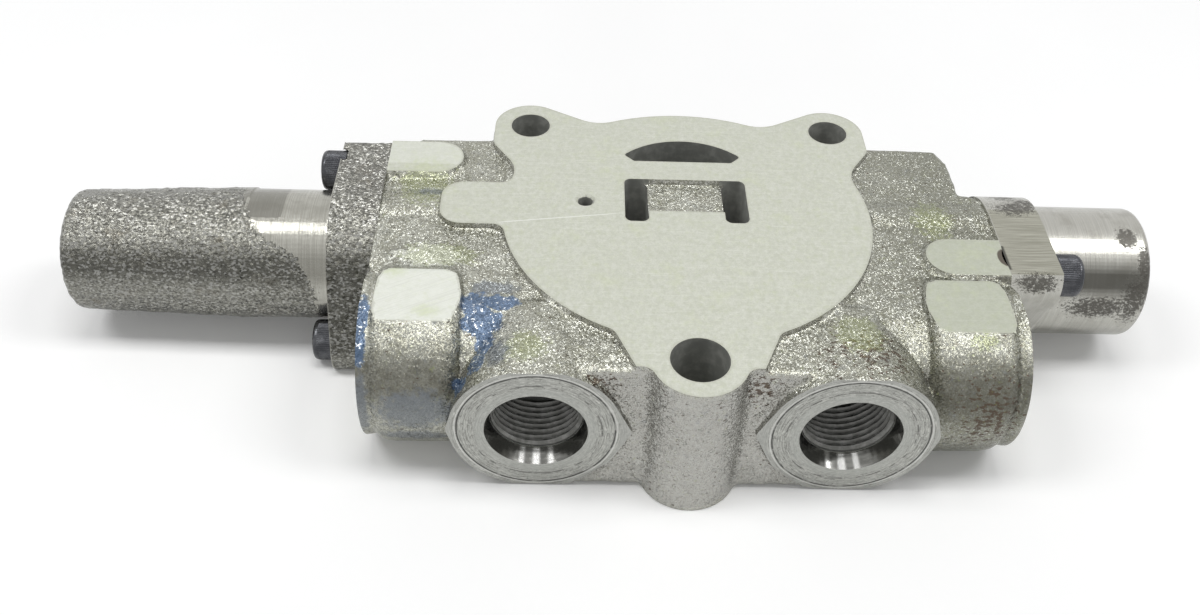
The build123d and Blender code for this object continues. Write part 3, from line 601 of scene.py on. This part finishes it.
def body_slots(skin):
    """Which finish each face of the body takes: 0 cast, 1 milled, 2 port face, 3 seat, 4 dark."""
    x, y, z = skin.centres.T
    up, front, end = skin.facing[:, 2], -skin.facing[:, 1], np.abs(skin.facing[:, 0])
    slots = np.zeros(len(x), int)
    right_tie, left_tie = rear_tie, (-rear_tie[0], *rear_tie[1:])
    dark = in_hole(skin.centres, right_tie, 0.25) | in_hole(skin.centres, left_tie, 0.25)
    dark |= in_hole(skin.centres, front_tie, 0.25) | in_hole(skin.centres, sense_hole, -0.6)
    legs = (np.abs(x) > 11.6) & (np.abs(x) < 19.4) & (y > -8.7) & (y < 12.7)
    crescent = (np.abs(x) < 19.2) & (y > 21.9) & (y < 33.6) & (np.abs(up) < 0.5)
    dark |= (legs & (z < cast_z - 0.3)) | crescent
    dark |= legs & (np.abs(up) < 0.5)
    inside = np.hypot(y, z - axis_z) < 14.2
    slots[dark | (inside & (end < 0.9))] = 4
    slots[((z > top_z - 0.12) & (up > 0.8)) | ((z < 0.12) & (up < -0.8))] = 1
    slots[(np.abs(x) > body_end - 0.12) & (end > 0.9)] = 1
    slots[in_hole(skin.centres, sense_hole, 0.1) & (slots == 0) & (up > 0.3)] = 1
    collar = (np.abs(x) > 91.4) & (y < np.where(x > 0, -32.0, -20.0))
    slots[collar & (slots == 1) & (end < 0.9)] = 0
    slots[(np.abs(y - port_face_y) < 0.12) & (front > 0.9) & (np.abs(x) > 17.5)] = 2
    bore = np.hypot(np.abs(x) - port_x, z - axis_z)
    wall = (bore < port_mouth + 0.15) & (y < -45) & (slots != 2)
    slots[wall & (y < thread_start_y + 0.1)] = 3
    slots[wall & (y >= thread_start_y + 0.1)] = 4
    relief = (np.hypot(y - barrel_y, z - axis_z) < 17.2) & (np.abs(x) > 70)
    slots[relief] = 4
    return slots


def countersunk(points):
    """Marks what lies in the relief round the right cap's screws."""
    x, y, z = points.T
    return (x > 91.8) & (np.hypot(np.abs(y) - screw_y, np.abs(z - axis_z) - screw_z) < 7.8)


def body_skin():
    """The casting with softened, sandy edges and its machined faces kept crisp."""
    piece = remeshed("valve_body", "body_casting", 8)
    skin = Skin(piece)
    slots = body_slots(skin)
    sink = skin.touching(countersunk(skin.centres) & (slots == 0))
    free = ~skin.touching(slots != 0) & ~sink
    milled = skin.touching(slots == 1) & ~skin.touching(slots != 1)
    near_step = free & (skin.spread(milled, 7) > 0.01)
    skin.relax(np.where(free, 0.5, 0.0), 5)
    skin.relax(np.where(near_step, 0.5, 0.0), 26)
    across, back, _ = np.abs(skin.points).T
    groove = free & (across > 86) & (across < 94.2) & (back > 28)
    skin.relax(np.where(groove, 0.5, 0.0), 24)
    start = skin.points.copy()
    relief = 0.20 * lattice_noise(start, 9.0, 1) + 0.14 * lattice_noise(start, 3.2, 2)
    relief += 0.08 * lattice_noise(start, 1.4, 3)
    skin.points += skin.normals * np.where(free, relief, 0.0)[:, None]
    skin.mesh.polygons.foreach_set("material_index", slots)
    skin.store(38)
    skin.paint("blue", patches(start, [
        ((-62.5, -45.0, 46.0), (7.0, 7.0, 5.0)), ((-55.5, -44.0, 45.0), (8.5, 4.5, 4.0)),
        ((-59.0, -50.5, 43.5), (7.5, 7.0, 5.0)), ((-63.5, -51.0, 44.0), (4.5, 5.5, 4.0)), ((-59.0, -57.0, 42.0), (4.4, 7.0, 5.5)),
        ((-61.0, -64.0, 40.0), (4.0, 6.0, 6.0)), ((-65.5, -67.5, 35.0), (4.0, 5.0, 6.5)),
        ((-94.2, -50.0, 46.0), (3.4, 9.0, 5.0)), ((-94.2, -59.0, 42.0), (3.2, 8.0, 9.0))]))
    skin.paint("wash", patches(start, [
        ((-55.5, -63.5, 45.0), (5.5, 6.0, 4.5)), ((-93.8, -68.0, 26.0), (3.0, 9.0, 17.0)),
        ((-79.0, -70.0, 27.0), (16.0, 7.0, 10.0)), ((-80.0, 6.0, 46.5), (9.0, 2.6, 2.5)),
        ((-84.0, 24.0, 45.6), (9.0, 4.0, 2.0)), ((-58.0, -38.0, 45.6), (10.0, 4.0, 3.0)),
        ((-79.0, -69.0, 15.0), (14.0, 6.0, 4.0))]))
    skin.paint("lime", patches(start, [
        ((-82.0, 10.0, 46.0), (12.0, 16.0, 4.0)), ((-48.0, -62.5, 47.0), (9.0, 8.0, 5.0)),
        ((-86.8, -33.5, 47.6), (4.6, 3.6, 1.5)), ((-76.0, -50.0, 47.6), (5.0, 3.5, 1.5)),
        ((46.0, -55.0, 47.0), (10.0, 10.0, 5.0)), ((81.0, -56.0, 45.5), (6.0, 4.0, 4.0)),
        ((77.0, -3.0, 45.6), (9.0, 12.0, 3.0)), ((-75.0, -24.0, 45.6), (16.0, 7.0, 2.0))]))
    skin.paint("crust", patches(start, [((-78.0, -25.0, 45.6), (15.0, 8.0, 3.0))]))
    skin.paint("rust", patches(start, [
        ((84.0, -66.0, 28.0), (14.0, 12.0, 20.0)), ((17.0, -71.0, 40.0), (8.0, 4.0, 9.0)),
        ((50.0, -62.0, 46.0), (24.0, 13.0, 5.0)), ((-28.0, -72.0, 40.0), (12.0, 4.0, 8.0)),
        ((88.0, -20.0, 30.0), (6.0, 14.0, 12.0))]))
    # painted shade on the barrel fronts and in the screw reliefs
    barrels = np.clip((np.abs(start[:, 0]) - 60) / 8, 0, 1) * (start[:, 1] < -30)
    skin.paint("shade", np.maximum(front_shade(skin.normals, 27, 30) * barrels, sink))
    x, y, _ = start.T
    # painted light and shade on the milled faces: left pads paler, right pads darker
    skin.paint("painted_light_tone", np.select(
        [(x < -66) & (y < -20), (x < -66) & (y > 18), (x > 66) & (y < 15)], [1.0, 0.75, 0.0], 0.5))
    # the upward faces at the front, kept out of the painted shade on the right
    unshaded_front_top = np.clip((-50 - y) / 6, 0, 1) * np.clip((skin.normals[:, 2] - 0.5) / 0.3, 0, 1)
    # painted shade round the right countersink on the pad top
    reach = np.hypot((x - body_end) / 2.4, (y + screw_y) / 4.2)
    skin.paint("pocket", np.where(start[:, 2] > top_z - 1, 1 - reach, -1.0))
    # painted shade: the right side darker
    skin.paint("dim", np.clip((x - 20) / 60, 0, 1) * (1 - unshaded_front_top * (x > 60)))
    # painted light: upright faces paler
    upright = (np.abs(skin.normals[:, 2]) < 0.55) & (np.abs(x) < 66)
    skin.paint("front", skin.spread(upright, 3))
    skin.paint("inland", np.clip(2.2 * skin.spread(milled, 1) - 1.0, 0, 1))
    # painted light next to the milled faces
    skin.paint("edge", np.clip(3.0 * skin.spread(milled, 5), 0, 1) * free)
    for finish in (
            body_cast_finish(), machined_finish(), port_face_finish(),
            seat_finish(), bore_finish("dark_bore", (0.32, 0.325, 0.30), (0.46, 0.465, 0.43), 0.1)):
        piece.data.materials.append(finish)
    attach(piece, "housing")
    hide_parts("valve_body")


def band_edge(points):
    """How far each point lies on the turned side of the long cap's uneven band edge, in mm."""
    _, y, z = points.T
    angle = np.degrees(np.arctan2(-y, z - axis_z))
    edge = np.interp(
        angle, [-180, -120, -60, -21, 26, 38, 44, 53, 69, 85, 110, 180],
        [-116, -124, -136, -139.9, -134.2, -128.9, -123.6, -119.7, -116.8, -115.2, -115.0, -116])
    return points[:, 0] - edge


def long_cap_skin():
    """The long cap: coarse cast tube and flange, with the part-turned band between them."""
    piece = remeshed("long_spring_cap", "long_cap_casting", 8)
    skin = Skin(piece)
    x, y, z = skin.points.T
    radius = np.hypot(y, z - axis_z)
    tube = (x < -110.2) & (radius > 17.5)
    inside = radius < 15.0
    mating = x > -95.0
    turned = tube & (band_edge(skin.points) > 0)
    free = ~(inside | mating)
    smooth_normals = skin.normals.copy()
    skin.relax(np.where(free & ~turned, 0.5, 0.0), 4)
    start = skin.points.copy()
    relief = 0.30 * lattice_noise(start, 6.0, 11) + 0.22 * lattice_noise(start, 2.2, 12)
    relief += 0.14 * lattice_noise(start, 1.1, 13)
    low = np.clip(band_edge(start) / 3.0, 0, 1) * (tube & free)
    rough = np.where(free, 1.0 - low, 0.0)
    skin.points += skin.normals * (relief * rough * 0.8)[:, None]
    top = np.minimum(skin.points[:, 2], top_z)
    skin.points[:, 2] = np.maximum(top, 0.0)
    skin.store(45)
    shine = np.clip(0.5 + band_edge(start) / 6.0, 0, 1) * (tube & (start[:, 0] > -139))
    skin.paint("band", shine)
    above = np.clip((skin.normals[:, 2] - 0.93) / 0.04, 0, 1) + (skin.normals[:, 1] > 0.1)
    skin.paint("dull", np.clip((-125.0 - start[:, 0]) / 2 + 0.5, 0, 1) * np.clip(above, 0, 1))
    # painted shade: a dark band along the front of the cap
    skin.paint("shade", front_shade(smooth_normals, 29, 24))
    piece.data.materials.append(cap_cast_finish())
    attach(piece, "housing")
    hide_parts("long_spring_cap")


def short_cap_skin():
    """The short cap: turned tube, milled flange top and pitted patches."""
    piece = remeshed("short_pilot_cap", "short_cap_turning", 7)
    skin = Skin(piece)
    start = skin.points.copy()
    x, y, z = start.T
    plate = (x > 94.9) & (x < 110.9)
    skin.paint("flat", (plate & (z > top_z - 0.3)).astype(float))
    skin.paint("rust", patches(start, [
        ((138.5, -6.0, 43.0), (5.0, 6.0, 6.0)), ((143.5, -13.0, 38.0), (4.0, 8.0, 10.0)),
        ((130.0, -20.5, 26.5), (16.0, 6.0, 6.0)), ((141.0, -18.0, 28.0), (7.0, 8.0, 12.0)),
        ((104.0, 4.0, 47.6), (12.0, 9.0, 2.0)), ((103.0, 14.0, 46.0), (9.0, 10.0, 5.0)),
        ((108.0, 6.0, 47.0), (6.0, 8.0, 3.0)), ((103.0, -30.0, 45.0), (10.0, 4.0, 5.0)),
        ((120.0, 16.0, 12.0), (14.0, 12.0, 14.0))]))
    # painted shade in the screw pockets and a dark band along the front of the tube
    pocket = (x < 95.3) & (np.hypot(np.abs(y) - screw_y, np.abs(z - axis_z) - screw_z) < 8.6)
    skin.paint("shade", np.maximum(front_shade(skin.normals, 33, 20) * (x > 111.5), pocket))
    skin.store(32)
    piece.data.materials.append(cap_turned_finish())
    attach(piece, "housing")
    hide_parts("short_pilot_cap")


def socket_screw(name, side, y, z, seat, finish):
    """Socket head cap screw with a knurled rim, along X."""
    count = 180
    angles = np.linspace(0, 2 * math.pi, count, endpoint=False)
    knurl = 0.24 * (1 - np.abs(np.sin(angles * 30)))
    hexagon = 3.0 / np.cos((angles % (math.pi / 3)) - math.pi / 6)
    rings = [
        (seat - 29.5, 0.0), (seat - 29.5, 3.6), (seat - 29.0, 4.0), (seat, 4.0), (seat, 6.2),
        (seat + 0.25, 6.4), (seat + 0.5, 6.5 - knurl), (seat + 6.3, 6.5 - knurl),
        (seat + 6.6, 6.45), (seat + 7.2, 6.35), (seat + 7.7, 6.0), (seat + 8.0, 5.4),
        (seat + 8.0, hexagon + 0.25), (seat + 7.75, hexagon), (seat + 4.1, hexagon),
        (seat + 4.0, hexagon * 0.9), (seat + 3.9, 0.0)]
    if side < 0:
        rings = [(-along, radius) for along, radius in rings]
    piece = revolved(name, rings, lambda a, u, v: np.stack([a, y + u, z + v], axis=1), count)
    piece.data.materials.append(finish)
    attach(piece, "housing")
    return piece


def cap_screws():
    finish = black_oxide_finish()
    for side, node, seat in ((-1, "left_cap_screws", left_seat_x), (1, "right_cap_screws", right_seat_x)):
        for label, sign in (("upper", 1), ("lower", -1)):
            name = node.replace("screws", label + "_screw")
            piece = socket_screw(name, side, -side * sign * screw_y, axis_z + sign * screw_z, seat, finish)
            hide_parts(node)


def port_threads():
    """Helical thread in each work port, standing in from the plain bore of the solid."""
    count = 120
    turn = np.arange(count) / count
    finish = bore_finish("port_thread", (0.14, 0.14, 0.13), (0.30, 0.30, 0.285), 0.6)
    for side, label in ((-1, "left"), (1, "right")):
        rings = []
        for along in np.arange(thread_start_y + 0.2, thread_end_y - 0.2, 0.14):
            phase = (along / thread_pitch - turn) % 1
            crest = np.clip(1.25 * np.abs(2 * phase - 1) - 0.12, 0, 1)
            fade = min(1.0, (along - thread_start_y) / 0.8)
            rings.append((along, thread_major - thread_depth * crest * fade))
        piece = revolved(
            label + "_port_thread", rings,
            lambda a, u, v, side=side: np.stack([side * port_x + u, a, axis_z + v], axis=1), count)
        piece.data.materials.append(finish)
        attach(piece, "housing")


def plain_nodes():
    """Finishes of the solids that are shown as they are."""
    ground = steel_finish("ground_spool", (0.40, 0.40, 0.40), (0.62, 0.62, 0.61), 0.18, 0.3)
    turned = steel_finish("turned_steel", (0.26, 0.26, 0.25), (0.46, 0.455, 0.44), 0.34, 0.4)
    wire = steel_finish("spring_wire", (0.09, 0.09, 0.095), (0.20, 0.20, 0.21), 0.36, 1.2)
    plug = steel_finish("washed_plug", (0.22, 0.22, 0.19), (0.40, 0.395, 0.35), 0.38, 0.5)
    rubber = rubber_finish()
    finishes = {
        "spool": ground, "stem_bolt": turned, "outer_spring_seat": turned,
        "inner_spring_seat": turned, "check_poppet": turned, "centring_spring": wire,
        "check_spring": wire, "check_plug": plug, "left_relief_plug": plug,
        "right_relief_plug": plug, "return_face_seal": rubber, "centre_face_seal": rubber,
        "left_cap_seal": rubber, "right_cap_seal": rubber, "left_relief_seal": rubber,
        "right_relief_seal": rubber}
    for node, finish in finishes.items():
        nodes[node].data.materials.clear()
        nodes[node].data.materials.append(finish)


# -------------------------------------------------------- stage and camera

def floor():
    mesh = bpy.data.meshes.new("floor")
    half = 3.0
    mesh.from_pydata(
        [(-half, -half, -0.0002), (half, -half, -0.0002), (half, half, -0.0002), (-half, half, -0.0002)],
        [], [(0, 1, 2, 3)])
    piece = bpy.data.objects.new("floor", mesh)
    bpy.context.scene.collection.objects.link(piece)
    f = Finish("pale_floor")
    shade = f.mix(f.span(f.noise(90.0, 2.0), 0.3, 0.7), (0.95, 0.95, 0.945), (0.965, 0.965, 0.96))
    f.surface.inputs["Emission Color"].default_value = (1.0, 1.0, 1.0, 1.0)
    away = f.add("ShaderNodeVectorMath", operation="LENGTH")
    f.put(f.place, away.inputs[0])
    glow = f.math("ADD", f.span(away.outputs["Value"], 0.1, 0.3, 0.08, 0.125), f.span(away.outputs["Value"], 0.4, 1.4, 0.0, 0.7))
    f.put(f.math("MULTIPLY", seen(f.tree), glow), f.surface.inputs["Emission Strength"])
    mesh.materials.append(f.done(shade, 0.0, 0.75))


def seen(tree):
    """1 for rays that show the background: from the camera, by reflection and through glass."""
    path = tree.nodes.new("ShaderNodeLightPath")
    total = path.outputs["Is Camera Ray"]
    for kind in ("Is Glossy Ray", "Is Transmission Ray"):
        more = tree.nodes.new("ShaderNodeMath")
        more.operation = "MAXIMUM"
        tree.links.new(total, more.inputs[0])
        tree.links.new(path.outputs[kind], more.inputs[1])
        total = more.outputs[0]
    return total


def area_light(name, place, target, size, power):
    light = bpy.data.lights.new(name, "AREA")
    light.shape = "RECTANGLE"
    light.size, light.size_y = size
    light.energy = power
    piece = bpy.data.objects.new(name, light)
    piece.location = place
    piece.rotation_euler = (Vector(target) - Vector(place)).to_track_quat("-Z", "Y").to_euler()
    bpy.context.scene.collection.objects.link(piece)


def studio():
    """Three soft lamps in a row overhead, and an even pale surround."""
    for name, across, length, power in (
            ("overhead", 0.0, 0.40, 2.85), ("overhead_left", -0.68, 0.56, 4.0),
            ("overhead_right", 0.68, 0.56, 4.0)):
        area_light(name, (across, -0.04, 1.0), (across, -0.04, 0.0), (length, 0.3), power)
    world = bpy.data.worlds.new("surround")
    world.use_nodes = True
    tree = world.node_tree
    plain = tree.nodes["Background"]
    plain.inputs["Color"].default_value = (0.97, 0.98, 1.0, 1.0)
    plain.inputs["Strength"].default_value = 0.3
    white = tree.nodes.new("ShaderNodeBackground")
    white.inputs["Color"].default_value = (1.0, 1.0, 1.0, 1.0)
    white.inputs["Strength"].default_value = 1.0
    mix = tree.nodes.new("ShaderNodeMixShader")
    tree.links.new(seen(tree), mix.inputs[0])
    tree.links.new(plain.outputs[0], mix.inputs[1])
    tree.links.new(white.outputs[0], mix.inputs[2])
    tree.links.new(mix.outputs[0], tree.nodes["World Output"].inputs["Surface"])
    bpy.context.scene.world = world


def camera():
    """The photograph's view, solved from the section's own features."""
    data = bpy.data.cameras.new("photo_view")
    data.sensor_width = 36.0
    data.sensor_fit = "HORIZONTAL"
    data.lens = 36.0 * 1183.04 / 1200
    data.clip_start = 0.01
    piece = bpy.data.objects.new("photo_view", data)
    right = Vector((0.99942268, -0.00435605, 0.03369453))
    up = Vector((-0.0213486, 0.69098157, 0.72255707))
    back = right.cross(up)
    turn = Matrix((right, up, back)).transposed().to_4x4()
    piece.matrix_world = Matrix.Translation(Vector((-35.989, -288.712, 278.245)) * MM) @ turn
    bpy.context.scene.collection.objects.link(piece)
    bpy.context.scene.camera = piece


body_skin()
long_cap_skin()
short_cap_skin()
cap_screws()
port_threads()
plain_nodes()
floor()
studio()
camera()
scene = bpy.context.scene
scene.view_settings.view_transform = "Standard"
